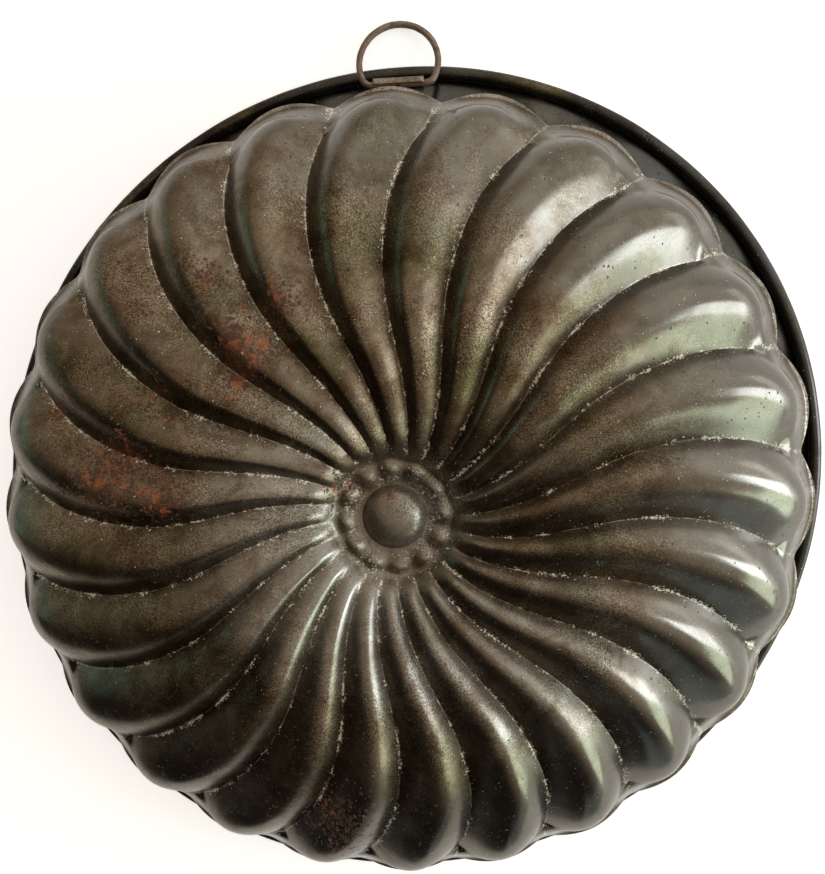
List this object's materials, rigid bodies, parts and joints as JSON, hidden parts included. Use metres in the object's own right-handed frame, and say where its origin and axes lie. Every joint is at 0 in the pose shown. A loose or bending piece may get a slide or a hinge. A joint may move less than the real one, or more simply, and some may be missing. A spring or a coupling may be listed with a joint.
{
  "type": "jelly mould",
  "caption": "Old pressed tin jelly mould: a swirled, fluted dome with a rosette on top, a lobed side wall, a wired rim and a hinged wire hanging ring.",
  "frame": {"origin": "under the middle of the whole box, on the surface that the wired rim stands on", "axes": "+Z is the mould's axis, up through the crown; +Y points to the hanging ring; the crown's swirl runs round +Z"},
  "size_m": [0.2414, 0.2502, 0.0493],
  "materials": {
    "crown_tin": "aged tinned sheet, brown and grey, worn and spotted with rust",
    "collar_tin": "aged tinned sheet, dark grey, scratched",
    "rim_iron": "dull iron wire",
    "solder": "dull soft solder",
    "lug_tin": "aged tinned strap, scuffed",
    "ring_iron": "rusty iron wire"
  },
  "bodies": {
    "mould": {"crown": "crown_tin", "collar": "collar_tin", "rim_wire": "rim_iron", "seam_solder": "solder", "side_seam_solder": "solder", "ring_lug": "lug_tin", "lug_solder": "solder"},
    "ring": {"hanging_ring": "ring_iron"}
  },
  "joints": [
    {"name": "ring_hinge", "type": "hinge", "parent": "mould", "child": "ring", "pos_m": [0.00274, 0.10784, 0.0057], "axis": [1, 0, 0], "range_deg": [0, 115]}
  ]
}
